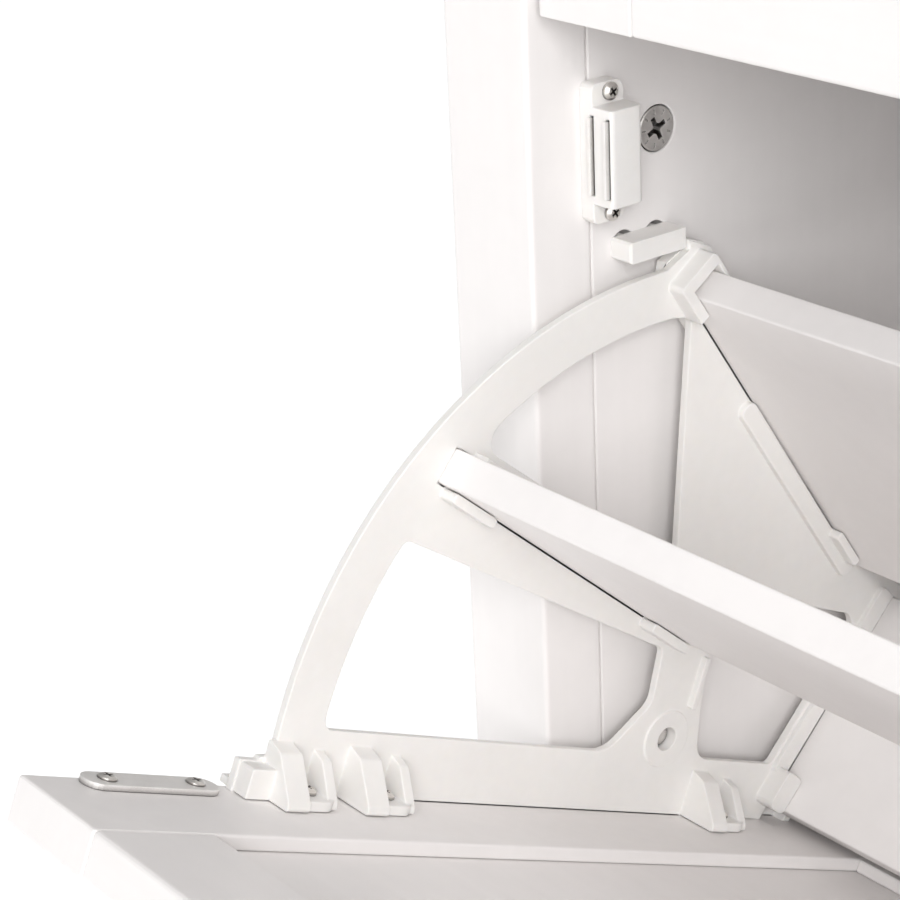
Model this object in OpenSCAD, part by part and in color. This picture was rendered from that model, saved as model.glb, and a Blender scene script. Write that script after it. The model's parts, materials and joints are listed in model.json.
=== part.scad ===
// Shoe cabinet with two tilt-out bins. Front faces -Y, +Z is up, and the
// origin is the middle of the floor area that the cabinet covers with its
// lower bin tipped open and its upper bin closed.

/* [Cabinet] */
// Clear width between the left and right posts
inner_w = 600; // [420:10:900]
// Width of a post across the front
post_w = 40; // [30:1:60]
// Depth of a post
post_d = 25; // [22:1:35]
// Depth from the front posts' faces to the rear posts' backs
body_d = 240; // [235:1:320]
// Thickness of side panels, base shelf and wall rail
board_t = 15; // [15:0.5:20]
// Thickness of the top board
top_t = 18; // [15:1:25]
// Height of the base shelf's upper face above the floor
base_h = 85; // [75:1:140]
// Height of the rail above the upper door
top_rail_h = 30; // [25:1:60]
// Overhang of the top board at the front and sides
overhang = 10; // [0:1:20]

/* [Doors] */
// Height of a door
door_h = 377; // [365:1:380]
// Thickness of a door's frame
door_t = 15; // [14:0.5:16]
// Width of the stiles and rails around the door's panel
frame_w = 41.5; // [36:0.5:50]
// Thickness of the door's panel
panel_t = 5; // [4:0.5:7]
// Height from one bin's pivot to the next
pitch = 384; // [384:1:420]
// Gap between a door and each post
side_gap = 4; // [3:0.5:5]

/* [Bins] */
// Angle that a bin tips open
open_angle = 65.5; // [65.5:0.5:65.5]
// Thickness of the boards in a bin
bin_board_t = 12; // [11:0.5:12]
// Thickness of a bin's moulded side frame
plate_t = 8; // [7:0.5:8]
// Outer radius of the frame's arc
arc_r = 171.2; // [170:0.2:171.6]
// Width of the arc's rim
rim_w = 16.8; // [15:0.2:18]
// Diameter of the bore that turns on the pivot pin
bore_d = 8.5; // [8:0.1:9]

/* [Hardware] */
// Radial running clearance of the pivot pin
pin_play = 0.05; // [0.02:0.01:0.1]
// Diameter of a screw's head
screw_head = 6.4; // [5:0.2:7]
// Diameter of a cam fitting
cam_d = 15; // [15:0.5:15]

/* [Hidden] */
$fn = 48;

white = [0.95, 0.94, 0.93];
plastic = [0.93, 0.93, 0.90];
steel = [0.75, 0.74, 0.72];

// The pivot axis lies this far behind the post's face, and every depth below
// is measured from it.
post_front = -45;
post_back = post_front + post_d;
rear_back = post_front + body_d;
rear_front = rear_back - post_d;
back_t = 3;
door_in = -28;
door_out = door_in - door_t;
door_bottom = -122;
door_top = door_bottom + door_h;
first_pivot = base_h + 132;
second_pivot = first_pivot + pitch;
rail_gap = 7;
rail_bottom = second_pivot + door_top + rail_gap;
post_h = rail_bottom + top_rail_h;
foot_t = 4;
panel_bottom = base_h - board_t - 10;

// The open door's top edge is the cabinet's foremost point.
reach_front = -door_out * cos(open_angle) + door_top * sin(open_angle);
reach_back = rear_back + back_t;
axis_y = (reach_front - reach_back) / 2;

// Near face of a bin's frame, and the wall it turns beside
wall_x = inner_w / 2;
face_gap = 10;
face_x = wall_x - face_gap;
door_half = wall_x - side_gap;
slot_depth = 5;
fit_gap = 0.2;

// Screw and catch places, measured from the pivot axis
lug_z = [160, 128, -32];
lug_x = 7;
strike_z = [197, 229];
catch_y = -24;
catch_low = 192;
catch_high = 237.5;
stop_low = 176.8;
stop_high = 184;
stop_front = -12;
stop_back = 13;
cam_y = 8.8;
cam_heights = [base_h + 30, first_pivot + 215.8, second_pivot + 215.8];
cam_edge = cam_y - post_back;

// ---- outlines ----

function unit(v) = v / norm(v);

// Arc that rounds the corner b, between its neighbours a and c
function fillet(a, b, c, r, steps = 6) =
  r <= 0 ? [b] :
  let (u = unit(a - b), v = unit(c - b), half = acos(u * v) / 2)
  let (o = b + unit(u + v) * r / sin(half), s = b + u * r / tan(half), e = b + v * r / tan(half))
  let (a0 = atan2(s.y - o.y, s.x - o.x), a1 = atan2(e.y - o.y, e.x - o.x))
  let (turn = (a1 - a0 + 540) % 360 - 180)
  [for (i = [0:steps]) o + r * [cos(a0 + turn * i / steps), sin(a0 + turn * i / steps)]];

// Closed outline whose points are [x, y, corner radius]
function rounded(p) =
  let (n = len(p), q = [for (v = p) [v.x, v.y]])
  [for (i = [0:n - 1]) each fillet(q[(i + n - 1) % n], q[i], q[(i + 1) % n], p[i].z, p[i].z < 2 ? 3 : 6)];

function arc(r, from, to, steps) =
  [for (i = [0:steps]) let (a = from + (to - from) * i / steps) r * [cos(a), sin(a)]];

// A point given with the bin open, as it lies with the bin closed
function closed(p) =
  [p.x * cos(open_angle) + p.y * sin(open_angle), p.y * cos(open_angle) - p.x * sin(open_angle)];

// ---- placing ----

// Extrudes an outline in the Y-Z plane from x0 to x1
module slab(x0, x1) {
  translate([x0, 0, 0]) rotate([90, 0, 90]) linear_extrude(x1 - x0) children();
}

// Puts a left-hand piece on the left (-1) or mirrors it to the right (1)
module hand(side) {
  if (side < 0) children();
  else mirror([1, 0, 0]) children();
}

module at_axis(z) {
  translate([0, axis_y, z]) children();
}

// Bin pieces are drawn closed about their pivot axis
module lower_bin() {
  at_axis(first_pivot) rotate([open_angle, 0, 0]) children();
}

module upper_bin() {
  at_axis(second_pivot) children();
}

module eased_bar(w, d, h, r = 1.5) {
  linear_extrude(h) polygon(rounded([[0, 0, r], [w, 0, r], [w, d, r], [0, d, r]]));
}

// Recessed cross in a screw's head, which faces +Z at z = 0
module cross_recess(size, depth) {
  for (a = [0, 90]) rotate([0, 0, a]) cube([size, size * 0.22, depth * 2], center = true);
}

// Pan-head screw along -Z, with the head's underside at z = 0
module pan_screw(shank_d, length, head_d = screw_head, head_h = 2) {
  difference() {
    union() {
      cylinder(d = head_d, h = head_h * 0.55);
      translate([0, 0, head_h * 0.55]) cylinder(d1 = head_d, d2 = head_d * 0.6, h = head_h * 0.45);
      translate([0, 0, -length]) cylinder(d = shank_d, h = length);
    }
    translate([0, 0, head_h]) cross_recess(head_d * 0.55, head_h * 0.6);
  }
}

// ---- carcass ----

bolt_d = 7;
bolt_in_post = 14;

// Cam bolt holes, drilled along Y from the joint between post and panel
module bolt_holes(y, length) {
  for (z = cam_heights) at_axis(z) translate([-wall_x - board_t / 2, y, 0])
    rotate([-90, 0, 0]) cylinder(d = bolt_d + 0.2, h = length);
}

module front_post() {
  color(white) difference() {
    at_axis(foot_t) translate([-wall_x - post_w, post_front, 0]) eased_bar(post_w, post_d, post_h - foot_t);
    bolt_holes(post_back - bolt_in_post, bolt_in_post + 1);
  }
}

module rear_post() {
  color(white) difference() {
    at_axis(foot_t) translate([-wall_x - post_w, rear_front, 0]) eased_bar(post_w, post_d, post_h - foot_t);
    bolt_holes(rear_front - 1, bolt_in_post + 1);
  }
}

module side_panel() {
  color(white) difference() {
    at_axis(panel_bottom) translate([-wall_x - board_t, post_back, 0])
      cube([board_t, rear_front - post_back, post_h - panel_bottom]);
    for (z = cam_heights, y = [cam_y, rear_front - cam_edge]) at_axis(z) {
      translate([-wall_x - 12.5, y, 0]) rotate([0, 90, 0]) cylinder(d = cam_d + 0.6, h = 13);
    }
    bolt_holes(post_back - 1, cam_edge + 1);
    bolt_holes(rear_front - cam_edge, cam_edge + 1);
    for (z = [first_pivot, second_pivot]) {
      at_axis(z) translate([-wall_x - 11, 0, 0]) rotate([0, 90, 0]) cylinder(d = 6, h = 12);
      for (y = peg_y) at_axis(z + peg_z) translate([-wall_x - peg_depth - 1, y, 0])
        rotate([0, 90, 0]) cylinder(d = peg_d + 3, h = peg_depth + 2);
    }
  }
}

module top_board() {
  w = inner_w + 2 * post_w + 2 * overhang;
  front = post_front - overhang;
  color(white) at_axis(post_h) translate([-w / 2, front, 0])
    difference() {
      cube([w, reach_back - front, top_t]);
      for (z = [0, top_t]) translate([0, 0, z]) rotate([45, 0, 0]) cube([3 * w, 2, 2], center = true);
      for (x = [0, w], z = [0, top_t]) translate([x, 0, z]) rotate([0, 45, 0])
        cube([2, 3 * body_d, 2], center = true);
    }
}

module front_rail(bottom, h) {
  color(white) at_axis(bottom) translate([-wall_x, post_front, 0])
    slab(0, inner_w) polygon(rounded([[0, 0, 1.5], [post_d, 0, 0], [post_d, h, 0], [0, h, 1.5]]));
}

bottom_rail_top = first_pivot - 129.5;

module base_shelf() {
  color(white) at_axis(base_h - board_t) translate([-wall_x, post_back, 0])
    cube([inner_w, rear_back - post_back, board_t]);
}

module back_panel() {
  low = panel_bottom + 5;
  color(white) at_axis(low) translate([-wall_x - post_w + 6, rear_back, 0])
    cube([inner_w + 2 * post_w - 12, back_t, post_h - low]);
}

wall_rail_h = 70;
wall_hole_d = 5;
wall_hole_x = 200;
wall_hole_z = post_h - wall_rail_h / 2;

// Rail behind the upper bin, drilled through for the two wall screws
module wall_rail() {
  color(white) difference() {
    at_axis(post_h - wall_rail_h) translate([-wall_x, rear_back - board_t, 0])
      cube([inner_w, board_t, wall_rail_h]);
    for (x = [-wall_hole_x, wall_hole_x]) at_axis(wall_hole_z)
      translate([x, rear_back - board_t - 1, 0]) rotate([-90, 0, 0]) cylinder(d = wall_hole_d, h = board_t + 2);
  }
}

module foot_glides() {
  color(plastic) for (x = [-1, 1], y = [post_front + post_d / 2, rear_back - post_d / 2])
    translate([x * (wall_x + post_w / 2), axis_y + y, 0]) {
      cylinder(d1 = 19, d2 = 22, h = 1.5);
      translate([0, 0, 1.5]) cylinder(d = 22, h = foot_t - 1.5);
    }
}

// Cast cam with a cross recess and a ring of tick marks in its face
module cam() {
  difference() {
    union() {
      cylinder(d = cam_d, h = 11.6);
      translate([0, 0, 11.6]) cylinder(d1 = cam_d, d2 = cam_d - 0.8, h = 0.4);
    }
    translate([0, 0, 12]) rotate([0, 0, 25]) cross_recess(8, 3.5);
    translate([0, 0, 12]) cylinder(d = 3.6, h = 6, center = true);
    for (a = [20:40:340]) rotate([0, 0, a]) translate([5.6, 0, 12]) cube([1.6, 0.5, 0.6], center = true);
    translate([0, 0, 5]) rotate([0, 90, 0]) cylinder(d = bolt_d + 0.4, h = 20, center = true);
  }
}

module cam_fittings() {
  color(steel) for (side = [-1, 1]) hand(side)
    for (z = cam_heights, y = [cam_y, rear_front - cam_edge])
      at_axis(z) translate([-wall_x - 12.1, y, 0]) rotate([0, 90, 0]) rotate([0, 0, 90]) cam();
}

module cam_bolts() {
  color(steel) for (side = [-1, 1]) hand(side)
    for (z = cam_heights) at_axis(z) translate([-wall_x - 7.1, 0, 0]) {
      translate([0, post_back - bolt_in_post + 1, 0]) rotate([-90, 0, 0]) cam_bolt();
      translate([0, rear_front + bolt_in_post - 1, 0]) rotate([90, 0, 0]) cam_bolt();
    }
}

// Bolt whose threaded end is in the post and whose neck reaches the cam
module cam_bolt() {
  cylinder(d = bolt_d - 0.6, h = bolt_in_post - 1);
  translate([0, 0, bolt_in_post - 1]) cylinder(d = bolt_d - 1.5, h = cam_edge - 4);
}

// ---- fixed hardware beside each bin ----

// Magnetic catch: a flanged base and a deeper box with two slots in its front
module catch_housing(z) {
  mid = (catch_low + catch_high) / 2;
  base_d = 13.5;
  box_w = 15;
  box_h = 31.5;
  color(plastic) at_axis(z) translate([-wall_x, catch_y, 0]) difference() {
    union() {
      slab(0, 6) polygon(rounded([
        [0, catch_low, 2.5], [base_d, catch_low, 3.5], [base_d, catch_high, 3.5], [0, catch_high, 2.5]]));
      translate([0, 0, mid - box_h / 2]) linear_extrude(box_h)
        polygon(rounded([[0, 0, 0], [box_w, 0, 1.5], [box_w, base_d, 2.5], [0, base_d, 0]]));
    }
    for (x = pole_x) translate([x, 8 / 2 - 1, mid]) cube([pole_t + 0.5, 10, pole_h + 0.8], center = true);
    for (s = [-1, 1]) translate([-1, base_d / 2 + 0.5, mid + s * catch_screw_z]) rotate([0, 90, 0])
      cylinder(d = 3.4, h = 8);
  }
}

pole_x = [5.6, 12.9];
pole_t = 1.2;
pole_h = 25;
catch_screw_z = 19.6;

module catch_poles() {
  mid = (catch_low + catch_high) / 2;
  color(steel) for (z = [first_pivot, second_pivot], side = [-1, 1], x = pole_x)
    hand(side) at_axis(z + mid) translate([-wall_x + x - pole_t / 2, catch_y - 1.4, -pole_h / 2])
      cube([pole_t, 8.6, pole_h]);
}

module catch_screws() {
  mid = (catch_low + catch_high) / 2;
  color(steel) for (z = [first_pivot, second_pivot], side = [-1, 1], s = [-1, 1])
    hand(side) at_axis(z + mid + s * catch_screw_z) translate([-wall_x + 6, catch_y + 7.25, 0])
      rotate([0, 90, 0]) rotate([0, 0, 30]) pan_screw(3, 6, 5.8, 2.2);
}

// Depth, height above the pivot and diameter of the two pegs of a stop block
peg_y = [-6.6, 7.4];
peg_z = 180.4;
peg_d = 6.6;
peg_depth = 8;

// Block that the open bin's frame comes up against, held by two pegs
module stop_block(z) {
  color(plastic) at_axis(z) {
    translate([-wall_x, stop_front, stop_low])
      eased_block(face_gap - 0.5, stop_back - stop_front, stop_high - stop_low, 0.8);
    for (y = peg_y) translate([-wall_x - peg_depth, y, peg_z])
      rotate([0, 90, 0]) cylinder(d = peg_d, h = peg_depth + 0.5);
  }
}

// Block with its base at x = 0, whose outer edges are chamfered
module eased_block(w, d, h, c) {
  intersection() {
    linear_extrude(h) polygon([[0, 0], [w - c, 0], [w, c], [w, d - c], [w - c, d], [0, d]]);
    slab(0, w) polygon([[0, c], [c, 0], [d - c, 0], [d, c], [d, h - c], [d - c, h], [c, h], [0, h - c]]);
  }
}

// Pin that a bin turns on: threaded into the panel, with a collar against it
module pivot_pin(z) {
  pin_end = 5.5;
  color(steel) at_axis(z) translate([-wall_x, 0, 0]) rotate([0, 90, 0]) {
    translate([0, 0, -10.5]) cylinder(d = 5.6, h = 11);
    cylinder(d = 14, h = 1.4);
    cylinder(d = bore_d - 2 * pin_play, h = pin_end + 0.9);
    translate([0, 0, pin_end + 0.9]) cylinder(d1 = bore_d - 2 * pin_play, d2 = bore_d - 1.2, h = 0.6);
  }
}

// ---- bin: moulded side frame, drawn closed, near face at x = 0 ----

// Front faces of the bin's boards: top corner, direction down, and length
rear_top = [151.5, 56.4];
rear_dir = unit([-61.8, -98.6]);
rear_len = 150;
mid_top = [76.2, 137.7];
mid_dir = unit([-40.4, -129.5]);
mid_len = 135;
bottom_top = [-21.5, -66.5];
bottom_dir = [cos(21.5), -sin(21.5)];
bottom_len = 90;

// Directions that point from a board's front or upper face into the board
rear_n = [-rear_dir.y, rear_dir.x];
mid_n = [-mid_dir.y, mid_dir.x];
bottom_n = [bottom_dir.y, -bottom_dir.x];

web_t = 3;
lip = 3.2;
rim_in = arc_r - rim_w;
pad_top = 183;
pad_y = -17.6;

// Strip along a board: s0 to s1 along its face, d0 to d1 through it
function strip(top, dir, n, s0, s1, d0, d1, r = 0) = rounded([
  for (p = [[s0, d0], [s1, d0], [s1, d1], [s0, d1]])
    let (q = top + dir * p.x + n * p.y) [q.x, q.y, r]]);

// The same strip for the rear, middle and bottom board
function at_rear(s0, s1, d0, d1, r = 0) = strip(rear_top, rear_dir, rear_n, s0, s1, d0, d1, r);
function at_mid(s0, s1, d0, d1, r = 0) = strip(mid_top, mid_dir, mid_n, s0, s1, d0, d1, r);
function at_bottom(s0, s1, d0, d1, r = 0) =
  strip(bottom_top, bottom_dir, bottom_n, s0, s1, d0, d1, r);

// Outline of the whole plate: door edge, foot, rear edge, stop wall and arc
module plate_outline() {
  back = bin_board_t + lip;
  heel = bottom_top + bottom_dir * (bottom_len + 5);
  rear_low = rear_top + rear_dir * (rear_len + 4) + rear_n * back;
  rear_high = rear_top + rear_n * back;
  sole = bottom_top + bottom_n * back;
  polygon(concat(
    rounded([
      [door_in, -80, 0], [sole.x - 2, sole.y + 1, 0],
      concat(heel + bottom_n * back, 4), concat(heel - bottom_n * 8, 4),
      concat(rear_low, 6), concat(rear_high, 0), [168.9, 51, 2],
      concat(closed([stop_back + 0.6, 179.2]), 1), concat(closed([stop_back + 0.6, stop_low - 0.6]), 0),
      concat(closed([stop_back - 9, arc_r + 0.2]), 0)]),
    arc(arc_r, 25, 95.4, 34),
    [[-16.6, 175.5], [pad_y, 176], [pad_y, pad_top], [door_in, pad_top]]));
}

// Window between the door rail and the spoke
module front_window() {
  low = [-6.5, 27];
  corner = rim_in * [cos(92.4), sin(92.4)];
  top = rim_in * [cos(68.5), sin(68.5)];
  polygon(concat(
    fillet([12, 12], low, corner, 12),
    fillet(low, corner, rim_in * [cos(86), sin(86)], 4),
    arc(rim_in, 90, 71, 10),
    fillet(rim_in * [cos(74), sin(74)], top, [32, 15], 3),
    fillet(top, [32, 15], [12, 12], 3),
    fillet([32, 15], [12, 12], low, 8)));
}

// Window between the spoke and the rear board, closed by the arc's rim
module rear_window() {
  low = [59.5, 22];
  high = [144.5, 50.5];
  corner = rim_in * [cos(54.4), sin(54.4)];
  polygon(concat(
    fillet(low, corner, rim_in * [cos(47), sin(47)], 6),
    arc(rim_in, 50, 22.5, 14),
    fillet(rim_in * [cos(22.5), sin(22.5)], high, [69, 24], 3),
    fillet(high, [69, 24], low, 3),
    fillet([69, 24], low, corner, 2)));
}

// Window below the pivot, bounded by the bottom board's channel
module lower_window() {
  edge = bottom_top - bottom_n * 11.6;
  a = edge + bottom_dir * 11.5;
  b = edge + bottom_dir * 76;
  polygon(rounded([
    [a.x, a.y, 3], [b.x, b.y, 6], [54, -56, 10], [34, -9, 4], [12, -13.5, 5], [a.x, -19, 8]]));
}

// Channels that wrap the boards' ends behind the web
module board_channels() {
  back = bin_board_t + lip - 0.5;
  slab(-plate_t, -0.5) polygon(at_rear(-1.2, rear_len + 3.2, -lip, back, 1.5));
  slab(-plate_t, -0.5) polygon(at_mid(-lip, mid_len + lip, -lip, back, 1.5));
  slab(-plate_t, -0.5) polygon(at_bottom(-2.4, bottom_len + 4.2, -lip, back, 1.5));
}

module board_slots() {
  t = bin_board_t + fit_gap;
  slab(-slot_depth, 1) polygon(at_rear(-0.5, rear_len + 0.5, -fit_gap, t));
  slab(-slot_depth, 1) polygon(at_mid(-fit_gap, mid_len + fit_gap, -fit_gap, t));
  slab(-slot_depth, 1) polygon(at_bottom(-8, bottom_len + fit_gap, -fit_gap, t));
}

// Raised lips that hold the boards where they leave their slots
module board_lips() {
  t = bin_board_t;
  slab(-1, 2.5) polygon(at_rear(53, 148, -7.7, -0.6, 3));
  slab(-1, 7) polygon(at_rear(126, 143, -3.6, -0.4, 1));
  slab(-1, 6) polygon(at_rear(24, rear_len - 12, t + 0.5, t + lip - 0.9));
  slab(-1, 6) polygon(at_mid(8, mid_len - 8, t + 0.5, t + lip - 0.9));
  slab(-1, 7) polygon(at_mid(3, 24, -3.8, -0.4, 1.2));
  slab(-1, 7) polygon(at_mid(mid_len - 22, mid_len, -3.8, -0.4, 1.2));
  slab(-1, 2) polygon(at_bottom(10, bottom_len, -10.5, -3.2, 2));
  slab(-1, 8) polygon(at_bottom(-2, 13, -9.5, -0.4, 2.5));
  slab(-1, 6) polygon(at_bottom(4, bottom_len, t + 0.5, t + lip - 0.9));
}

// Grooves on both sides of the bottom board's lip
module lip_grooves() {
  slab(-1.2, 1) polygon(at_bottom(12, bottom_len, -3.1, -2.1));
}

// Hood round the rear board's top edge
module board_cap() {
  t = bin_board_t;
  slab(-1, 7) difference() {
    polygon(at_rear(-8.5, 22, -4.4, t + lip - 1.2, 2));
    polygon(at_rear(-3.8, 30, -0.3, t + 0.4));
    polygon(at_rear(8, 30, -8, 5));
  }
}

// Screw lug: a pad on the door flanked by two tapered webs
module screw_lug(z, upper_t) {
  pad = 3.5;
  translate([0, door_in + 0.3, z]) {
    difference() {
      rotate([-90, 0, 0]) linear_extrude(pad - 0.3) polygon(rounded([
        [-1, -11, 0], [10, -11, 5], [15, -4, 5], [15, 5, 5], [10, 9, 4], [-1, 9, 0]]));
      translate([lug_x, -1, 0]) rotate([-90, 0, 0]) cylinder(d = 3.4, h = pad + 2);
    }
    translate([0, 0, 4.5]) linear_extrude(upper_t)
      polygon(rounded([[-1, 0, 0], [17, 0, 1], [16, 3, 2], [6, 15, 3], [-1, 17, 0]]));
    translate([0, 0, -8.5]) linear_extrude(4)
      polygon(rounded([[-1, 0, 0], [14, 0, 1], [13, 3, 2], [5, 13, 3], [-1, 15, 0]]));
  }
}

module frame_plate() {
  difference() {
    union() {
      difference() {
        slab(-web_t, 0) plate_outline();
        slab(-web_t - 1, 1) front_window();
        slab(-web_t - 1, 1) rear_window();
        slab(-web_t - 1, 1) lower_window();
      }
      board_channels();
      slab(-plate_t, -0.5) polygon([
        [door_in + 0.3, -76], [door_in + 3, -76], [door_in + 3, pad_top - 1], [door_in + 0.3, pad_top - 1]]);
      slab(-plate_t, -0.5) polygon([for (p = [
        [5, 168], [22.5, 171], [20.5, 177], [stop_back + 0.15, 179.6],
        [stop_back + 0.15, stop_low - 1], [6, 172.4]]) closed(p)]);
    }
    board_slots();
    lip_grooves();
  }
}

module side_frame() {
  color(plastic) difference() {
    union() {
      frame_plate();
      board_lips();
      board_cap();
      screw_lug(lug_z[0], 9);
      screw_lug(lug_z[1], 9);
      screw_lug(lug_z[2], 8);
      slab(-1, 7) polygon(rounded([
        [door_in + 0.3, 172, 0], [pad_y - 0.5, 172, 0], [pad_y - 0.5, pad_top - 0.5, 1],
        [door_in + 0.3, pad_top - 0.5, 0]]));
      slab(-1, 2.5) polygon(rounded([[12, -8.2, 1], [31, -8, 1], [31, -5.6, 1], [12, -5.8, 1]]));
      rotate([0, 90, 0]) translate([0, 0, -plate_t]) cylinder(r = 10.4, h = plate_t + 0.8);
    }
    translate([-plate_t - 1, 0, 0]) rotate([0, 90, 0]) cylinder(d = bore_d, h = plate_t + 3);
  }
}

// ---- bin: door ----

groove = 6;

module door_groove(x0, x1, z0, z1) {
  y = door_in - (door_t + panel_t) / 2;
  translate([x0, y - 0.1, z0]) cube([x1 - x0, panel_t + 0.2, z1 - z0]);
}

module door_stile() {
  inner = -door_half + frame_w;
  color(white) difference() {
    translate([-door_half, door_out, door_bottom]) linear_extrude(door_h)
      polygon(rounded([[0, 0, 1.5], [frame_w, 0, 0], [frame_w, door_t, 0], [0, door_t, 1.5]]));
    door_groove(inner - groove, inner + 1, door_bottom + frame_w - groove, door_top - frame_w + groove);
    for (z = [lug_z[0], lug_z[1], lug_z[2]]) screw_hole(-face_x + lug_x, z);
    for (z = strike_z) screw_hole(-wall_x + face_gap, z);
  }
}

// Pilot hole in the door's inner face
module screw_hole(x, z) {
  translate([x, door_in + 1, z]) rotate([90, 0, 0]) cylinder(d = 3, h = 11);
}

module door_rail(z, top) {
  half = door_half - frame_w;
  r0 = top ? 0 : 1.5;
  r1 = top ? 1.5 : 0;
  color(white) difference() {
    translate([0, door_out, z]) slab(-half, half)
      polygon(rounded([[0, 0, r0], [door_t, 0, r0], [door_t, frame_w, r1], [0, frame_w, r1]]));
    if (top) {
      door_groove(-half - 1, half + 1, z - 1, z + groove);
      translate([0, door_in + 1, knob_z]) rotate([90, 0, 0]) cylinder(d = 4.4, h = door_t + 2);
    } else door_groove(-half - 1, half + 1, z + frame_w - groove, z + frame_w + 1);
  }
}

module door_panel() {
  half = door_half - frame_w + groove - 0.3;
  low = door_bottom + frame_w - groove + 0.3;
  color(white) translate([-half, door_in - (door_t + panel_t) / 2, low])
    cube([2 * half, panel_t, door_top - frame_w + groove - 0.3 - low]);
}

module bin_board(top, dir, n, length) {
  half = face_x + slot_depth - 0.3;
  color(white) slab(-half, half) polygon(strip(top, dir, n, 0, length, 0, bin_board_t, 0.8));
}

// ---- bin: hardware ----

strike_t = 2;

module strike() {
  low = 189;
  high = 237.4;
  difference() {
    translate([-wall_x + face_gap, door_in, (low + high) / 2]) rotate([-90, 0, 0]) linear_extrude(strike_t)
      polygon(rounded([[-5.5, -(high - low) / 2, 5.4], [5.5, -(high - low) / 2, 5.4],
        [5.5, (high - low) / 2, 5.4], [-5.5, (high - low) / 2, 5.4]]));
    for (z = strike_z) translate([-wall_x + face_gap, door_in - 1, z]) rotate([-90, 0, 0])
      cylinder(d = 3.2, h = 4);
  }
}

module strikes() {
  color(steel) for (side = [-1, 1]) hand(side) strike();
}

module strike_screws() {
  color(steel) for (side = [-1, 1], z = strike_z) hand(side)
    translate([-wall_x + face_gap, door_in + strike_t, z]) rotate([-90, 0, 0]) pan_screw(2.9, 11, 6, 1.3);
}

module frame_screws() {
  color(steel) for (side = [-1, 1], z = lug_z) hand(side)
    translate([-face_x + lug_x, door_in + 3.5, z]) rotate([-90, 0, 0]) rotate([0, 0, 20])
      pan_screw(2.9, 13, 6.4, 2);
}

knob_z = door_top - frame_w / 2;

// Turned knob on the door's outer face, tapped from behind for its screw
module knob() {
  color(steel) translate([0, door_out, knob_z]) rotate([90, 0, 0]) difference() {
    rotate_extrude() polygon(concat(
      [[0, 0], [7, 0], [7, 1.5], [4.5, 3.5], [4.2, 7]],
      [for (a = [-60:10:90]) [5.5 + 6.5 * cos(a), 13.5 + 6 * sin(a)]],
      [[0, 19.8]]));
    translate([0, 0, -1]) cylinder(d = 4.4, h = 13);
  }
}

module knob_screw() {
  color(steel) translate([0, door_in, knob_z]) rotate([-90, 0, 0]) pan_screw(4, 25.5, 8, 2.4);
}

hand(-1) front_post();  // left_front_post
hand(1) front_post();  // right_front_post
hand(-1) rear_post();  // left_rear_post
hand(1) rear_post();  // right_rear_post
hand(-1) side_panel();  // left_side_panel
hand(1) side_panel();  // right_side_panel
top_board();
front_rail(rail_bottom, top_rail_h);  // top_front_rail
front_rail(bottom_rail_top - 40, 40);  // bottom_front_rail
base_shelf();
back_panel();
wall_rail();
foot_glides();
cam_fittings();
cam_bolts();
hand(-1) catch_housing(first_pivot);  // lower_left_catch
hand(1) catch_housing(first_pivot);  // lower_right_catch
hand(-1) catch_housing(second_pivot);  // upper_left_catch
hand(1) catch_housing(second_pivot);  // upper_right_catch
catch_poles();
catch_screws();
hand(-1) stop_block(first_pivot);  // lower_left_stop
hand(1) stop_block(first_pivot);  // lower_right_stop
hand(-1) stop_block(second_pivot);  // upper_left_stop
hand(1) stop_block(second_pivot);  // upper_right_stop
hand(-1) pivot_pin(first_pivot);  // lower_left_pin
hand(1) pivot_pin(first_pivot);  // lower_right_pin
hand(-1) pivot_pin(second_pivot);  // upper_left_pin
hand(1) pivot_pin(second_pivot);  // upper_right_pin
hand(-1) lower_bin() translate([-face_x, 0, 0]) side_frame();  // lower_left_frame
hand(1) lower_bin() translate([-face_x, 0, 0]) side_frame();  // lower_right_frame
hand(-1) upper_bin() translate([-face_x, 0, 0]) side_frame();  // upper_left_frame
hand(1) upper_bin() translate([-face_x, 0, 0]) side_frame();  // upper_right_frame
hand(-1) lower_bin() door_stile();  // lower_left_stile
hand(1) lower_bin() door_stile();  // lower_right_stile
lower_bin() door_rail(door_top - frame_w, true);  // lower_top_rail
lower_bin() door_rail(door_bottom, false);  // lower_bottom_rail
lower_bin() door_panel();  // lower_door_panel
hand(-1) upper_bin() door_stile();  // upper_left_stile
hand(1) upper_bin() door_stile();  // upper_right_stile
upper_bin() door_rail(door_top - frame_w, true);  // upper_top_rail
upper_bin() door_rail(door_bottom, false);  // upper_bottom_rail
upper_bin() door_panel();  // upper_door_panel
lower_bin() bin_board(bottom_top, bottom_dir, bottom_n, bottom_len);  // lower_bottom_board
lower_bin() bin_board(mid_top, mid_dir, mid_n, mid_len);  // lower_middle_board
lower_bin() bin_board(rear_top, rear_dir, rear_n, rear_len);  // lower_rear_board
upper_bin() bin_board(bottom_top, bottom_dir, bottom_n, bottom_len);  // upper_bottom_board
upper_bin() bin_board(mid_top, mid_dir, mid_n, mid_len);  // upper_middle_board
upper_bin() bin_board(rear_top, rear_dir, rear_n, rear_len);  // upper_rear_board
lower_bin() strikes();  // lower_strikes
upper_bin() strikes();  // upper_strikes
lower_bin() strike_screws();  // lower_strike_screws
upper_bin() strike_screws();  // upper_strike_screws
lower_bin() frame_screws();  // lower_frame_screws
upper_bin() frame_screws();  // upper_frame_screws
lower_bin() knob();  // lower_knob
upper_bin() knob();  // upper_knob
lower_bin() knob_screw();  // lower_knob_screw
upper_bin() knob_screw();  // upper_knob_screw
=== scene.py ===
import json
import math

import bmesh
import bpy
from bpy.props import FloatProperty, FloatVectorProperty, IntProperty, PointerProperty
from mathutils import Matrix, Vector

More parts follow.
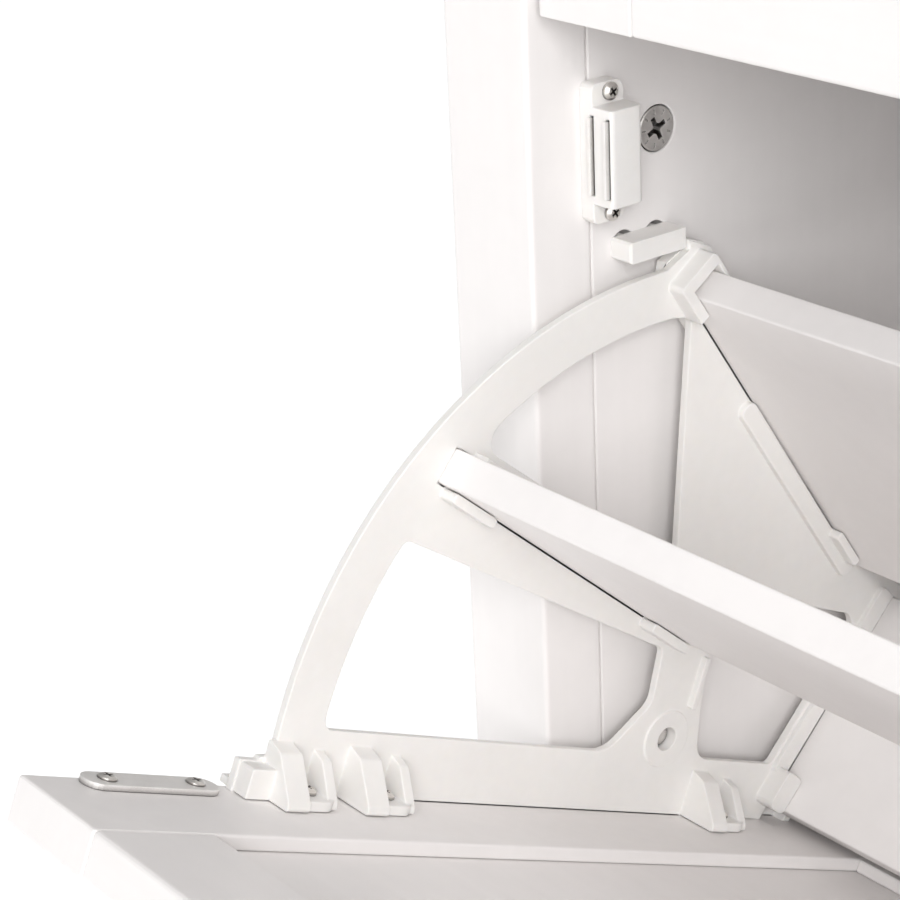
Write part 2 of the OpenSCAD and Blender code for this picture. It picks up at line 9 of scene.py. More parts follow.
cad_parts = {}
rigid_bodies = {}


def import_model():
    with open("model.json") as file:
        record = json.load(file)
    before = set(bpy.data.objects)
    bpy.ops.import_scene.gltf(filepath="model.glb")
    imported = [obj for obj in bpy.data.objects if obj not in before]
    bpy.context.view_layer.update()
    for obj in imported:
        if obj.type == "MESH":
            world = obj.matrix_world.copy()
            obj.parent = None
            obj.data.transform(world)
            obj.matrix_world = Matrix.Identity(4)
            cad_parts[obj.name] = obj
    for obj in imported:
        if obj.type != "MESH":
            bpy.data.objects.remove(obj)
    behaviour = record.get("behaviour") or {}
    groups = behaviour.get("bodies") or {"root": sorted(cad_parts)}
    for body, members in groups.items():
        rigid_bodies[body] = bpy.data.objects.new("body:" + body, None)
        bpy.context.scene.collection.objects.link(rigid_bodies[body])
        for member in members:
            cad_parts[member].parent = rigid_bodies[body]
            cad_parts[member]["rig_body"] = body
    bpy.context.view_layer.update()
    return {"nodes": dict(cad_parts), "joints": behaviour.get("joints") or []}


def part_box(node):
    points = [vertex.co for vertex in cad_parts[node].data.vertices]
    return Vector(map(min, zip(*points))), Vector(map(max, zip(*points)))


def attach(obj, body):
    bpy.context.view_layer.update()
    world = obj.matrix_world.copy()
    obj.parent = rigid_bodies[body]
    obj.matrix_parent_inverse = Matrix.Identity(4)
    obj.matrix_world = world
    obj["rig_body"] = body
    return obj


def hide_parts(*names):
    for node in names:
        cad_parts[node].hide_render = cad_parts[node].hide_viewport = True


bl_info = {
    "name": "Shoe Cabinet",
    "version": (1, 0, 0),
    "blender": (4, 5, 0),
    "location": "View3D > Sidebar > Cabinet",
    "description": "Finishes a two-bin shoe cabinet around its packed frame",
    "category": "Object",
}

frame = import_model()
MM = 0.001

# The bins turn about these joints. A bin whose range ends at rest is stored
# open, so its closed pose is the low end of its range.
JOINT_OF = {joint["child"]: joint for joint in frame["joints"]}
BINS = ("lower", "upper")
SIDES = ("left", "right")


def pivot_of(bin_name):
    """The middle of a bin's axis, in metres."""
    return Vector(JOINT_OF[bin_name + "_bin"]["pos_m"])


def rest_turn(bin_name):
    """How far a bin stands tipped open at rest, in radians."""
    return -math.radians(min(JOINT_OF[bin_name + "_bin"]["range_deg"][0], 0.0))


def placed(bin_name):
    """Matrix from a closed bin's own frame, about its axis, to its place at rest."""
    return Matrix.Translation(pivot_of(bin_name)) @ Matrix.Rotation(rest_turn(bin_name), 4, "X")


# ---------------------------------------------------------------- settings


class CabinetFinish(bpy.types.PropertyGroup):
    paint: FloatVectorProperty(
        name="Paint", description="Colour of the painted panels and boards",
        subtype="COLOR", size=3, min=0.0, max=1.0, default=(0.90, 0.872, 0.862))
    moulding: FloatVectorProperty(
        name="Moulding", description="Colour of the moulded frames, catches and stops",
        subtype="COLOR", size=3, min=0.0, max=1.0, default=(0.88, 0.862, 0.84))
    fibre: FloatVectorProperty(
        name="Bare fibreboard", description="Colour of the boards where they are left unpainted",
        subtype="COLOR", size=3, min=0.0, max=1.0, default=(0.42, 0.29, 0.18))
    zinc: FloatVectorProperty(
        name="Zinc", description="Colour of the zinc-plated fittings",
        subtype="COLOR", size=3, min=0.0, max=1.0, default=(0.82, 0.80, 0.78))
    nickel: FloatVectorProperty(
        name="Nickel", description="Colour of the nickel-plated screws and knobs",
        subtype="COLOR", size=3, min=0.0, max=1.0, default=(0.86, 0.83, 0.79))
    board_edge: FloatProperty(
        name="Board edge", description="Radius that eases the edges of boards and rails",
        unit="LENGTH", min=0.0002, max=0.003, default=0.8 * MM)
    moulded_edge: FloatProperty(
        name="Moulded edge", description="Radius that softens the edges of moulded pieces",
        unit="LENGTH", min=0.0001, max=0.001, default=0.4 * MM)
    metal_edge: FloatProperty(
        name="Metal edge", description="Radius that breaks the edges of metal pieces",
        unit="LENGTH", min=0.00005, max=0.0005, default=0.15 * MM)


class CabinetKnob(bpy.types.PropertyGroup):
    neck: FloatProperty(
        name="Neck radius", description="Radius of the knob's neck",
        unit="LENGTH", min=0.003, max=0.006, default=4.2 * MM)
    turns: IntProperty(
        name="Turning steps", description="Steps in which the knob's profile is spun",
        min=24, max=128, default=64)


class CabinetStage(bpy.types.PropertyGroup):
    floor: FloatVectorProperty(
        name="Floor", description="Colour of the floor and the backdrop",
        subtype="COLOR", size=3, min=0.0, max=1.0, default=(0.96, 0.96, 0.96))
    glow: FloatProperty(
        name="Floor glow", description="Light that the floor gives off, as a lit studio sweep does",
        min=0.0, max=2.0, default=0.61)
    daylight: FloatProperty(
        name="Daylight", description="Strength of the even light from all round",
        min=0.0, max=4.0, default=0.27)
    key: FloatProperty(
        name="Key light", description="Power of the large lamp at the right of the front",
        subtype="POWER", min=0.0, max=500.0, default=184.0)
    top: FloatProperty(
        name="Top light", description="Power of the lamp overhead",
        subtype="POWER", min=0.0, max=500.0, default=40.0)
    side: FloatProperty(
        name="Side light", description="Power of the lamp high on the right",
        subtype="POWER", min=0.0, max=500.0, default=20.0)
    lens: FloatProperty(
        name="Lens", description="Focal length of the camera's lens in millimetres",
        min=20.0, max=200.0, default=100.11)


# ---------------------------------------------------------------- node groups


def start_group(name, inputs, outputs):
    """A new shader group with its own input and output nodes."""
    tree = bpy.data.node_groups.new(name, "ShaderNodeTree")
    for label, kind, value in inputs:
        made = tree.interface.new_socket(name=label, in_out="INPUT", socket_type=kind)
        if value is not None:
            made.default_value = value
    for label, kind in outputs:
        tree.interface.new_socket(name=label, in_out="OUTPUT", socket_type=kind)
    source = tree.nodes.new("NodeGroupInput")
    result = tree.nodes.new("NodeGroupOutput")
    return tree, source, result


def add(tree, kind, **settings):
    node = tree.nodes.new(kind)
    for key, value in settings.items():
        setattr(node, key, value)
    return node


NOISE_ROUGHNESS = 0.55


def noise(tree, vector, scale, detail=3.0):
    node = add(tree, "ShaderNodeTexNoise")
    tree.links.new(vector, node.inputs["Vector"])
    if isinstance(scale, float):
        node.inputs["Scale"].default_value = scale
    else:
        tree.links.new(scale, node.inputs["Scale"])
    node.inputs["Detail"].default_value = detail
    node.inputs["Roughness"].default_value = NOISE_ROUGHNESS
    return node.outputs["Fac"]


def ranged(tree, value, low, high, to_low=0.0, to_high=1.0):
    node = add(tree, "ShaderNodeMapRange")
    tree.links.new(value, node.inputs["Value"])
    for label, number in (("From Min", low), ("From Max", high), ("To Min", to_low), ("To Max", to_high)):
        node.inputs[label].default_value = number
    return node.outputs["Result"]


def maths(tree, operation, first, second):
    node = add(tree, "ShaderNodeMath", operation=operation)
    for slot, value in enumerate((first, second)):
        if isinstance(value, (int, float)):
            node.inputs[slot].default_value = value
        else:
            tree.links.new(value, node.inputs[slot])
    return node.outputs[0]


def mottle_group():
    """Slow uneven tone, such as handling and ageing leave on a pale surface."""
    tree, source, result = start_group(
        "uneven_tone",
        [("Vector", "NodeSocketVector", None), ("Scale", "NodeSocketFloat", 9.0)],
        [("Mask", "NodeSocketFloat")])
    broad = noise(tree, source.outputs["Vector"], source.outputs["Scale"], 4.0)
    fine_scale = maths(tree, "MULTIPLY", source.outputs["Scale"], 14.0)
    fine = noise(tree, source.outputs["Vector"], fine_scale, 2.0)
    mixed = maths(tree, "ADD", maths(tree, "MULTIPLY", broad, 0.75), maths(tree, "MULTIPLY", fine, 0.25))
    tree.links.new(ranged(tree, mixed, 0.36, 0.64), result.inputs["Mask"])
    return tree


def skin_group():
    """Height of a sprayed or moulded skin: a fine pebble over a slow ripple."""
    tree, source, result = start_group(
        "surface_skin",
        [("Vector", "NodeSocketVector", None), ("Pebble", "NodeSocketFloat", 900.0),
         ("Ripple", "NodeSocketFloat", 60.0)],
        [("Height", "NodeSocketFloat")])
    pebble = noise(tree, source.outputs["Vector"], source.outputs["Pebble"], 1.5)
    ripple = noise(tree, source.outputs["Vector"], source.outputs["Ripple"], 2.0)
    mixed = maths(tree, "ADD", maths(tree, "MULTIPLY", pebble, 0.55), maths(tree, "MULTIPLY", ripple, 0.45))
    tree.links.new(mixed, result.inputs["Height"])
    return tree


RUB_WIDTH = 1.2 * MM


def edge_group():
    """Mask of rubbed edges, broken up along their length."""
    tree, source, result = start_group(
        "rubbed_edges",
        [("Vector", "NodeSocketVector", None), ("Patches", "NodeSocketFloat", 40.0)],
        [("Mask", "NodeSocketFloat")])
    rounded = add(tree, "ShaderNodeBevel", samples=4)
    rounded.inputs["Radius"].default_value = RUB_WIDTH
    plain = add(tree, "ShaderNodeNewGeometry")
    facing = add(tree, "ShaderNodeVectorMath", operation="DOT_PRODUCT")
    tree.links.new(rounded.outputs["Normal"], facing.inputs[0])
    tree.links.new(plain.outputs["Normal"], facing.inputs[1])
    near_edge = ranged(tree, facing.outputs["Value"], 0.995, 0.90)
    patches = ranged(tree, noise(tree, source.outputs["Vector"], source.outputs["Patches"]), 0.42, 0.6)
    tree.links.new(maths(tree, "MULTIPLY", near_edge, patches), result.inputs["Mask"])
    return tree


def streak_group():
    """Fine parallel lines, as brushing, rolling or planing leaves, drawn out by the stretch."""
    tree, source, result = start_group(
        "fine_streaks",
        [("Vector", "NodeSocketVector", None), ("Stretch", "NodeSocketVector", (1.0, 1.0, 1.0)),
         ("Scale", "NodeSocketFloat", 300.0)],
        [("Mask", "NodeSocketFloat")])
    drawn = add(tree, "ShaderNodeVectorMath", operation="MULTIPLY")
    tree.links.new(source.outputs["Vector"], drawn.inputs[0])
    tree.links.new(source.outputs["Stretch"], drawn.inputs[1])
    lines = noise(tree, drawn.outputs["Vector"], source.outputs["Scale"])
    tree.links.new(ranged(tree, lines, 0.3, 0.7), result.inputs["Mask"])
    return tree


GROUPS = {}


def group(name):
    """A shared node group, built the first time that it is asked for."""
    makers = {"tone": mottle_group, "skin": skin_group, "edges": edge_group, "streaks": streak_group}
    if name not in GROUPS:
        GROUPS[name] = makers[name]()
    return GROUPS[name]


# ---------------------------------------------------------------- materials


def place(tree, name, vector, **values):
    """Puts a shared group in a material's tree, on its coordinates."""
    node = add(tree, "ShaderNodeGroup", node_tree=group(name))
    tree.links.new(vector, node.inputs["Vector"])
    for label, value in values.items():
        node.inputs[label].default_value = value
    return node.outputs[0]


def blend(tree, mask, first, second):
    """Colour that goes from first to second as the mask rises."""
    node = add(tree, "ShaderNodeMix", data_type="RGBA")
    tree.links.new(mask, node.inputs["Factor"])
    for label, value in (("A", first), ("B", second)):
        target = next(s for s in node.inputs if s.name == label and s.type == "RGBA")
        if isinstance(value, bpy.types.NodeSocket):
            tree.links.new(value, target)
        else:
            target.default_value = (*value[:3], 1.0)
    return next(s for s in node.outputs if s.type == "RGBA")


def shade(colour, factor):
    return tuple(min(1.0, channel * factor) for channel in colour[:3])


def start_material(name):
    """A material with its shader, and the object's own coordinates."""
    made = bpy.data.materials.new(name)
    made.use_nodes = True
    tree = made.node_tree
    shader = tree.nodes["Principled BSDF"]
    coordinates = add(tree, "ShaderNodeTexCoord").outputs["Object"]
    return made, tree, shader, coordinates


def relief(tree, shader, height, strength, depth):
    bump = add(tree, "ShaderNodeBump")
    bump.inputs["Strength"].default_value = strength
    bump.inputs["Distance"].default_value = depth
    tree.links.new(height, bump.inputs["Height"])
    tree.links.new(bump.outputs["Normal"], shader.inputs["Normal"])


def painted(name, colour, grain):
    """Satin paint: an uneven tone, a drawn grain under it and rubbed edges."""
    made, tree, shader, at = start_material(name)
    tone = place(tree, "tone", at, Scale=7.0)
    lines = place(tree, "streaks", at, Stretch=grain, Scale=170.0)
    worn = place(tree, "edges", at, Patches=45.0)
    base = blend(tree, tone, shade(colour, 0.975), shade(colour, 1.02))
    base = blend(tree, maths(tree, "MULTIPLY", lines, 0.35), base, shade(colour, 0.955))
    base = blend(tree, maths(tree, "MULTIPLY", worn, 0.35), base, shade(colour, 0.90))
    tree.links.new(base, shader.inputs["Base Color"])
    rough = maths(tree, "ADD", ranged(tree, tone, 0.0, 1.0, 0.34, 0.43), maths(tree, "MULTIPLY", lines, 0.05))
    tree.links.new(rough, shader.inputs["Roughness"])
    skin = place(tree, "skin", at, Pebble=700.0, Ripple=80.0)
    height = maths(tree, "ADD", skin, maths(tree, "MULTIPLY", lines, 0.3))
    relief(tree, shader, height, 0.35, 0.05 * MM)
    return made


def foiled(name, colour, bare, reach):
    """Painted board that is left as bare fibre at its two ends, past reach from the middle."""
    made, tree, shader, at = start_material(name)
    tone = place(tree, "tone", at, Scale=9.0)
    worn = place(tree, "edges", at, Patches=60.0)
    base = blend(tree, tone, shade(colour, 0.965), shade(colour, 1.015))
    base = blend(tree, maths(tree, "MULTIPLY", worn, 0.45), base, shade(colour, 0.84))
    split = add(tree, "ShaderNodeSeparateXYZ")
    tree.links.new(at, split.inputs[0])
    end = maths(tree, "GREATER_THAN", maths(tree, "ABSOLUTE", split.outputs["X"], 0.0), reach)
    chips = ranged(tree, noise(tree, at, 900.0, 4.0), 0.3, 0.7)
    base = blend(tree, end, base, blend(tree, chips, shade(bare, 0.8), shade(bare, 1.25)))
    tree.links.new(base, shader.inputs["Base Color"])
    rough = maths(tree, "ADD", ranged(tree, tone, 0.0, 1.0, 0.42, 0.52), maths(tree, "MULTIPLY", end, 0.4))
    tree.links.new(rough, shader.inputs["Roughness"])
    relief(tree, shader, place(tree, "skin", at, Pebble=500.0, Ripple=45.0), 0.4, 0.06 * MM)
    return made


def moulded(name, colour, gloss=0.42):
    """Injection-moulded plastic: a fine spark-eroded skin that lets a little light in."""
    made, tree, shader, at = start_material(name)
    tone = place(tree, "tone", at, Scale=16.0)
    worn = place(tree, "edges", at, Patches=70.0)
    base = blend(tree, tone, shade(colour, 0.97), shade(colour, 1.02))
    base = blend(tree, maths(tree, "MULTIPLY", worn, 0.4), base, shade(colour, 1.06))
    tree.links.new(base, shader.inputs["Base Color"])
    tree.links.new(ranged(tree, tone, 0.0, 1.0, gloss, gloss + 0.12), shader.inputs["Roughness"])
    shader.inputs["Subsurface Weight"].default_value = 0.12
    shader.inputs["Subsurface Radius"].default_value = (1.0, 0.8, 0.6)
    shader.inputs["Subsurface Scale"].default_value = 2.5 * MM
    shader.inputs["IOR"].default_value = 1.46
    relief(tree, shader, place(tree, "skin", at, Pebble=1500.0, Ripple=120.0), 0.5, 0.05 * MM)
    return made


# Near-black colour painted into hollows and recesses as shade.
PAINTED_SHADE = (0.05, 0.04, 0.035)
HOLLOW_REACH = 3.0 * MM


def plated(name, colour, drawn, low, high, tarnish=0.82, metal=0.9):
    """Plated steel with drawn lines, cloudy patches, bright rubbed edges and painted shade darkening its
    hollows.
    """
    made, tree, shader, at = start_material(name)
    tone = place(tree, "tone", at, Scale=60.0)
    lines = place(tree, "streaks", at, Stretch=drawn, Scale=900.0)
    worn = place(tree, "edges", at, Patches=120.0)
    base = blend(tree, tone, shade(colour, tarnish), colour)
    base = blend(tree, maths(tree, "MULTIPLY", worn, 0.6), base, shade(colour, 1.2))
    # Painted shade: ambient occlusion blends the base colour towards near black in hollows such as cross
    # recesses, where shade falls.
    hollow = add(tree, "ShaderNodeAmbientOcclusion", samples=6)
    hollow.inputs["Distance"].default_value = HOLLOW_REACH
    painted_shade = ranged(tree, hollow.outputs["AO"], 0.8, 0.4)
    base = blend(tree, painted_shade, base, PAINTED_SHADE)
    tree.links.new(base, shader.inputs["Base Color"])
    shader.inputs["Metallic"].default_value = metal
    rough = maths(tree, "ADD", ranged(tree, tone, 0.0, 1.0, low, high), maths(tree, "MULTIPLY", lines, 0.1))
    tree.links.new(rough, shader.inputs["Roughness"])
    relief(tree, shader, lines, 0.25, 0.02 * MM)
    return made


def hardboard(name, colour):
    """Filmed hardboard with a faint woven press pattern."""
    made, tree, shader, at = start_material(name)
    tone = place(tree, "tone", at, Scale=5.0)
    across = place(tree, "streaks", at, Stretch=(1.0, 1.0, 0.08), Scale=500.0)
    along = place(tree, "streaks", at, Stretch=(0.08, 1.0, 1.0), Scale=500.0)
    weave = maths(tree, "MULTIPLY", across, along)
    base = blend(tree, tone, shade(colour, 0.95), colour)
    base = blend(tree, maths(tree, "MULTIPLY", weave, 0.3), base, shade(colour, 0.88))
    tree.links.new(base, shader.inputs["Base Color"])
    tree.links.new(ranged(tree, weave, 0.0, 1.0, 0.5, 0.68), shader.inputs["Roughness"])
    relief(tree, shader, weave, 0.6, 0.08 * MM)
    return made


MATERIALS = {}


def finish_of(name):
    """A named finish, made once from the scene's settings."""
    look = bpy.context.scene.cabinet_finish
    makers = {
        "upright_paint": lambda: painted("upright_paint", look.paint, (1.0, 1.0, 0.05)),
        "level_paint": lambda: painted("level_paint", look.paint, (0.05, 1.0, 1.0)),
        # The boards' paint is 5% lighter than the panels' to stand in for light inside the bins: painted
        # light.
        "board_paint": lambda: foiled("board_paint", shade(look.paint, 1.05), look.fibre, board_reach()),
        "moulding": lambda: moulded("moulding", look.moulding),
        "glide": lambda: moulded("glide", shade(look.moulding, 0.9), 0.5),
        "zinc": lambda: plated("zinc", look.zinc, (1.0, 0.1, 0.1), 0.4, 0.55),
        "milky_zinc": lambda: plated(
            "milky_zinc", shade(look.zinc, 1.15), (0.1, 1.0, 1.0), 0.38, 0.52, 0.93, 0.5),
        "nickel": lambda: plated("nickel", look.nickel, (1.0, 0.2, 1.0), 0.25, 0.4, 0.9),
        "back_film": lambda: hardboard("back_film", shade(look.paint, 0.98)),
    }
    if name not in MATERIALS:
        MATERIALS[name] = makers[name]()
    return MATERIALS[name]


END_SLIVER = 0.3 * MM


def board_reach():
    """Half the length of a bin's board, less the sliver that is its end face."""
    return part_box("lower_rear_board")[1].x - END_SLIVER


# ---------------------------------------------------------------- mesh helpers

MERGE = 0.002 * MM  # corners nearer than this are one corner
CORNER = math.radians(32)  # edges turning by more are rounded
CREASE = math.radians(12)  # edges turning by more stay crisp in the shading
ROUND_STEPS = 2


def soft_mesh(mesh, width):
    """Merges a CAD mesh's corners and rounds its sharp edges."""
    work = bmesh.new()
    work.from_mesh(mesh)
    bmesh.ops.remove_doubles(work, verts=work.verts, dist=MERGE)
    sharp = [e for e in work.edges if len(e.link_faces) == 2 and e.calc_face_angle(0.0) > CORNER]
    bmesh.ops.bevel(
        work, geom=sharp, offset=width, offset_type="OFFSET", segments=ROUND_STEPS, profile=0.5,
        affect="EDGES", clamp_overlap=False, loop_slide=False, material=-1)
    bmesh.ops.recalc_face_normals(work, faces=work.faces)
    made = bpy.data.meshes.new(mesh.name + "_eased")
    work.to_mesh(made)
    work.free()
    for stored in ("custom_normal", "sharp_edge", "sharp_face"):
        if stored in made.attributes:
            made.attributes.remove(made.attributes[stored])
    return made


def shaded(mesh):
    mesh.shade_smooth()
    mesh.set_sharp_from_angle(angle=CREASE)
    return mesh


def show(name, mesh, finish, slot, body, *nodes):
    """Puts a finished mesh in the scene, riding on its body in place of its CAD nodes."""
    piece = bpy.data.objects.new(name, shaded(mesh))
    bpy.context.scene.collection.objects.link(piece)
    mesh.materials.append(finish_of(finish))
    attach(piece, body)
    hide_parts(*nodes)


def ease(node, finish, slot, width):
    """Shows a CAD node as a softly edged copy of itself."""
    source = frame["nodes"][node]
    mesh = soft_mesh(source.data, width)
    show(node + "_finished", mesh, finish, slot, source["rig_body"], node)


# ---------------------------------------------------------------- operators


class CABINET_OT_carcass(bpy.types.Operator):
    """Posts, side panels, rails, shelf, top and back with eased edges"""
    bl_idname = "cabinet.carcass"
    bl_label = "Carcass"

    def execute(self, context):
        edge = context.scene.cabinet_finish.board_edge
        for side in SIDES:
            for node in (side + "_front_post", side + "_rear_post", side + "_side_panel"):
                ease(node, "upright_paint", "white_lacquer", edge * 0.7)
        for node in ("top_board", "top_front_rail", "bottom_front_rail", "base_shelf", "wall_rail"):
            ease(node, "level_paint", "white_lacquer", edge)
        ease("back_panel", "back_film", "back_board", edge * 0.5)
        return {"FINISHED"}


class CABINET_OT_doors(bpy.types.Operator):
    """Framed doors: stiles, rails and the panel held in their grooves"""
    bl_idname = "cabinet.doors"
    bl_label = "Doors"

    def execute(self, context):
        edge = context.scene.cabinet_finish.board_edge
        for name in BINS:
            for side in SIDES:
                ease(f"{name}_{side}_stile", "upright_paint", "white_lacquer", edge)
            for node in ("top_rail", "bottom_rail", "door_panel"):
                ease(f"{name}_{node}", "level_paint", "white_lacquer", edge)
        return {"FINISHED"}


class CABINET_OT_boards(bpy.types.Operator):
    """Boards that carry the shoes, with bare ends"""
    bl_idname = "cabinet.boards"
    bl_label = "Bin boards"

    def execute(self, context):
        edge = context.scene.cabinet_finish.board_edge
        for name in BINS:
            for board in ("bottom_board", "middle_board", "rear_board"):
                ease(f"{name}_{board}", "board_paint", "white_lacquer", edge * 0.5)
        return {"FINISHED"}


class CABINET_OT_frames(bpy.types.Operator):
    """Moulded side frames of the bins"""
    bl_idname = "cabinet.frames"
    bl_label = "Side frames"

    def execute(self, context):
        edge = context.scene.cabinet_finish.moulded_edge
        for name in BINS:
            for side in SIDES:
                ease(f"{name}_{side}_frame", "moulding", "white_moulding", edge)
        return {"FINISHED"}


class CABINET_OT_catches(bpy.types.Operator):
    """Magnetic catches with their pole plates, and the stop blocks"""
    bl_idname = "cabinet.catches"
    bl_label = "Catches and stops"

    def execute(self, context):
        look = context.scene.cabinet_finish
        for name in BINS:
            for side in SIDES:
                ease(f"{name}_{side}_catch", "moulding", "white_moulding", look.moulded_edge)
                ease(f"{name}_{side}_stop", "moulding", "white_moulding", look.moulded_edge * 0.5)
        ease("catch_poles", "milky_zinc", "zinc", look.metal_edge)
        return {"FINISHED"}


class CABINET_OT_hardware(bpy.types.Operator):
    """Strike plates, screws, pivot pins, cams and bolts"""
    bl_idname = "cabinet.hardware"
    bl_label = "Hardware"

    def execute(self, context):
        edge = context.scene.cabinet_finish.metal_edge
        for name in BINS:
            ease(f"{name}_strikes", "milky_zinc", "zinc", edge * 1.6)
            ease(f"{name}_strike_screws", "nickel", "nickel", edge)
            ease(f"{name}_frame_screws", "nickel", "nickel", edge)
            ease(f"{name}_knob_screw", "zinc", "zinc", edge)
            for side in SIDES:
                ease(f"{name}_{side}_pin", "zinc", "zinc", edge)
        ease("catch_screws", "nickel", "nickel", edge)
        ease("cam_fittings", "zinc", "zinc", edge)
        ease("cam_bolts", "zinc", "zinc", edge)
        return {"FINISHED"}


# The knob's seat and crown as shares of its radius and reach, and its curves.
FOOT_SHARE, CROWN_SHARE, CROWN_CORE = 0.58, 0.62, 0.46
FOOT_EDGE, FOOT_TOP = 0.3 * MM, 1.6 * MM
FLARE_RISE, CROWN_UNDERCUT = 3.0 * MM, 5.2 * MM
FLARE_STEPS, CROWN_STEPS = 6, 12
CROWN_FROM, CROWN_SWEEP = -62, 152


class CABINET_OT_knobs(bpy.types.Operator):
    """Turned knobs, spun from their profile"""
    bl_idname = "cabinet.knobs"
    bl_label = "Knobs"

    def execute(self, context):
        knob = context.scene.cabinet_knob
        low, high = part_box("upper_knob")
        reach, radius = high.y - low.y, (high.x - low.x) / 2
        seat = Vector((0.0, high.y, (low.z + high.z) / 2)) - pivot_of("upper")
        for name in BINS:
            work = bmesh.new()
            profile = self.profile(work, knob.neck, radius, reach)
            bmesh.ops.spin(
                work, geom=profile, cent=(0, 0, 0), axis=(0, -1, 0), angle=math.tau,
                steps=knob.turns, use_merge=True)
            bmesh.ops.remove_doubles(work, verts=work.verts, dist=MERGE)
            bmesh.ops.recalc_face_normals(work, faces=work.faces)
            mesh = bpy.data.meshes.new(name + "_knob")
            work.to_mesh(mesh)
            work.free()
            mesh.transform(placed(name) @ Matrix.Translation(seat))
            show(f"{name}_knob_turned", mesh, "nickel", "nickel", name + "_bin", f"{name}_knob")
        return {"FINISHED"}

    def profile(self, work, neck, radius, reach):
        """Half outline from the middle of the seat to the middle of the crown."""
        foot, crown = radius * FOOT_SHARE, reach * CROWN_SHARE
        waist = foot * 0.93
        points = [
            (0.0, 0.0), (foot * 0.96, 0.0), (foot, FOOT_EDGE), (foot, 1.2 * MM), (waist, FOOT_TOP)]
        for step in range(1, FLARE_STEPS + 1):
            turn = math.pi / 2 * step / FLARE_STEPS
            points.append((
                neck + (waist - neck) * (1 - math.sin(turn)), FOOT_TOP + FLARE_RISE * (1 - math.cos(turn))))
        points.append((neck, crown - CROWN_UNDERCUT))
        core, thick = radius * CROWN_CORE, reach - crown
        for step in range(CROWN_STEPS + 1):
            turn = math.radians(CROWN_FROM + CROWN_SWEEP * step / CROWN_STEPS)
            points.append((core + radius * (1 - CROWN_CORE) * math.cos(turn), crown + thick * math.sin(turn)))
        points.append((0.0, reach))
        corners = [work.verts.new((across, -out, 0.0)) for across, out in points]
        edges = [work.edges.new(pair) for pair in zip(corners, corners[1:])]
        return corners + edges


class CABINET_OT_feet(bpy.types.Operator):
    """Plastic glides under the posts"""
    bl_idname = "cabinet.feet"
    bl_label = "Glides"

    def execute(self, context):
        ease("foot_glides", "glide", "glide", context.scene.cabinet_finish.moulded_edge)
        return {"FINISHED"}


FLOOR_REACH = 6.0
LAMP_SIZE = 3.2
# Each lamp's setting and its place from the lower bin's left end, in metres.
LAMPS = {"key": (3.77, -2.95, 2.03), "top": (0.46, -1.26, 5.02), "side": (3.46, -1.26, 3.68)}
SENSOR = 36.0
# The camera's place from the left frame's near face, and how it is turned.
FRAME_INSET = 4.7 * MM
VIEW_FROM = Vector((565.0, -521.8, 434.3)) * MM
AZIMUTH, ELEVATION, ROLL = math.radians(52.525), math.radians(22.755), math.radians(-2.7367)


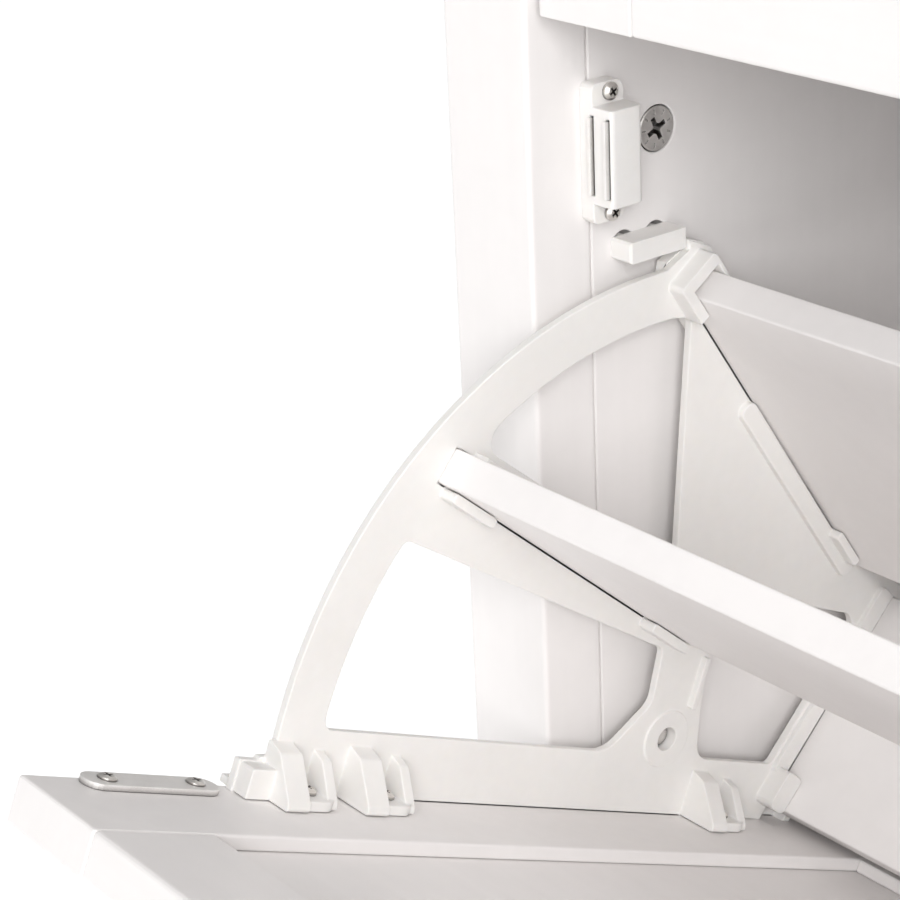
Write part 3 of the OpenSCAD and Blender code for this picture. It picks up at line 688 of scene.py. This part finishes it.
class CABINET_OT_stage(bpy.types.Operator):
    """Floor, soft light and camera"""
    bl_idname = "cabinet.stage"
    bl_label = "Stage"

    def execute(self, context):
        stage = context.scene.cabinet_stage
        self.floor(context, stage)
        self.daylight(context, stage)
        corner = pivot_of("lower") + Vector((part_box("lower_left_frame")[0].x, 0.0, 0.0))
        for name, place_from in LAMPS.items():
            at = corner + Vector(place_from)
            self.lamp(context, name + "_lamp", at, corner, getattr(stage, name))
        self.camera(context, stage)
        return {"FINISHED"}

    def floor(self, context, stage):
        work = bmesh.new()
        bmesh.ops.create_grid(work, x_segments=1, y_segments=1, size=FLOOR_REACH)
        mesh = bpy.data.meshes.new("floor")
        work.to_mesh(mesh)
        work.free()
        made, tree, shader, at = start_material("floor_paint")
        tone = place(tree, "tone", at, Scale=1.5)
        base = blend(tree, tone, shade(stage.floor, 0.985), stage.floor)
        tree.links.new(base, shader.inputs["Base Color"])
        shader.inputs["Roughness"].default_value = 0.8
        shader.inputs["Emission Color"].default_value = (1.0, 1.0, 1.0, 1.0)
        shader.inputs["Emission Strength"].default_value = stage.glow
        mesh.materials.append(made)
        floor = bpy.data.objects.new("floor", mesh)
        context.scene.collection.objects.link(floor)

    def daylight(self, context, stage):
        world = bpy.data.worlds.new("daylight")
        world.use_nodes = True
        back = world.node_tree.nodes["Background"]
        back.inputs["Color"].default_value = (1.0, 1.0, 1.0, 1.0)
        back.inputs["Strength"].default_value = stage.daylight
        context.scene.world = world

    def lamp(self, context, name, at, towards, power):
        light = bpy.data.lights.new(name, "AREA")
        light.shape = "DISK"
        light.size = LAMP_SIZE
        light.energy = power
        lamp = bpy.data.objects.new(name, light)
        lamp.location = at
        lamp.rotation_euler = (towards - at).to_track_quat("-Z", "Y").to_euler()
        context.scene.collection.objects.link(lamp)

    def camera(self, context, stage):
        """Looks down and to the left past the left frame's near face."""
        near_face = Vector((-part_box("lower_middle_board")[1].x + FRAME_INSET, 0.0, 0.0))
        back = Vector((
            math.sin(AZIMUTH) * math.cos(ELEVATION), -math.cos(AZIMUTH) * math.cos(ELEVATION),
            math.sin(ELEVATION)))
        across = Vector((math.cos(AZIMUTH), math.sin(AZIMUTH), 0.0))
        up = back.cross(across)
        right = math.cos(ROLL) * across + math.sin(ROLL) * up
        top = math.cos(ROLL) * up - math.sin(ROLL) * across
        lens = bpy.data.cameras.new("camera")
        lens.lens = stage.lens
        lens.sensor_width = SENSOR
        lens.clip_start = 0.01
        camera = bpy.data.objects.new("camera", lens)
        turn = Matrix((right, top, back)).transposed().to_4x4()
        camera.matrix_world = Matrix.Translation(pivot_of("lower") + near_face + VIEW_FROM) @ turn
        context.scene.collection.objects.link(camera)
        context.scene.camera = camera
        context.scene.view_settings.view_transform = "Standard"


class CABINET_PT_pieces(bpy.types.Panel):
    """Lists the cabinet's pieces and their settings"""
    bl_label = "Shoe Cabinet"
    bl_idname = "CABINET_PT_pieces"
    bl_space_type = "VIEW_3D"
    bl_region_type = "UI"
    bl_category = "Cabinet"

    def draw(self, context):
        layout = self.layout
        for operator in OPERATORS:
            layout.operator(operator.bl_idname, text=operator.bl_label)
        for settings in ("cabinet_finish", "cabinet_knob", "cabinet_stage"):
            box = layout.box()
            holder = getattr(context.scene, settings)
            for key in holder.__annotations__:
                box.prop(holder, key)


OPERATORS = (
    CABINET_OT_carcass, CABINET_OT_doors, CABINET_OT_boards, CABINET_OT_frames, CABINET_OT_catches,
    CABINET_OT_hardware, CABINET_OT_knobs, CABINET_OT_feet, CABINET_OT_stage)
SETTINGS = (CabinetFinish, CabinetKnob, CabinetStage)
CLASSES = (*SETTINGS, *OPERATORS, CABINET_PT_pieces)


def register():
    for item in CLASSES:
        bpy.utils.register_class(item)
    bpy.types.Scene.cabinet_finish = PointerProperty(type=CabinetFinish)
    bpy.types.Scene.cabinet_knob = PointerProperty(type=CabinetKnob)
    bpy.types.Scene.cabinet_stage = PointerProperty(type=CabinetStage)


def unregister():
    for name in ("cabinet_stage", "cabinet_knob", "cabinet_finish"):
        delattr(bpy.types.Scene, name)
    for item in reversed(CLASSES):
        bpy.utils.unregister_class(item)


def main():
    register()
    bpy.ops.cabinet.carcass()
    bpy.ops.cabinet.doors()
    bpy.ops.cabinet.boards()
    bpy.ops.cabinet.frames()
    bpy.ops.cabinet.catches()
    bpy.ops.cabinet.hardware()
    bpy.ops.cabinet.knobs()
    bpy.ops.cabinet.feet()
    bpy.ops.cabinet.stage()


if __name__ == "__main__":
    main()
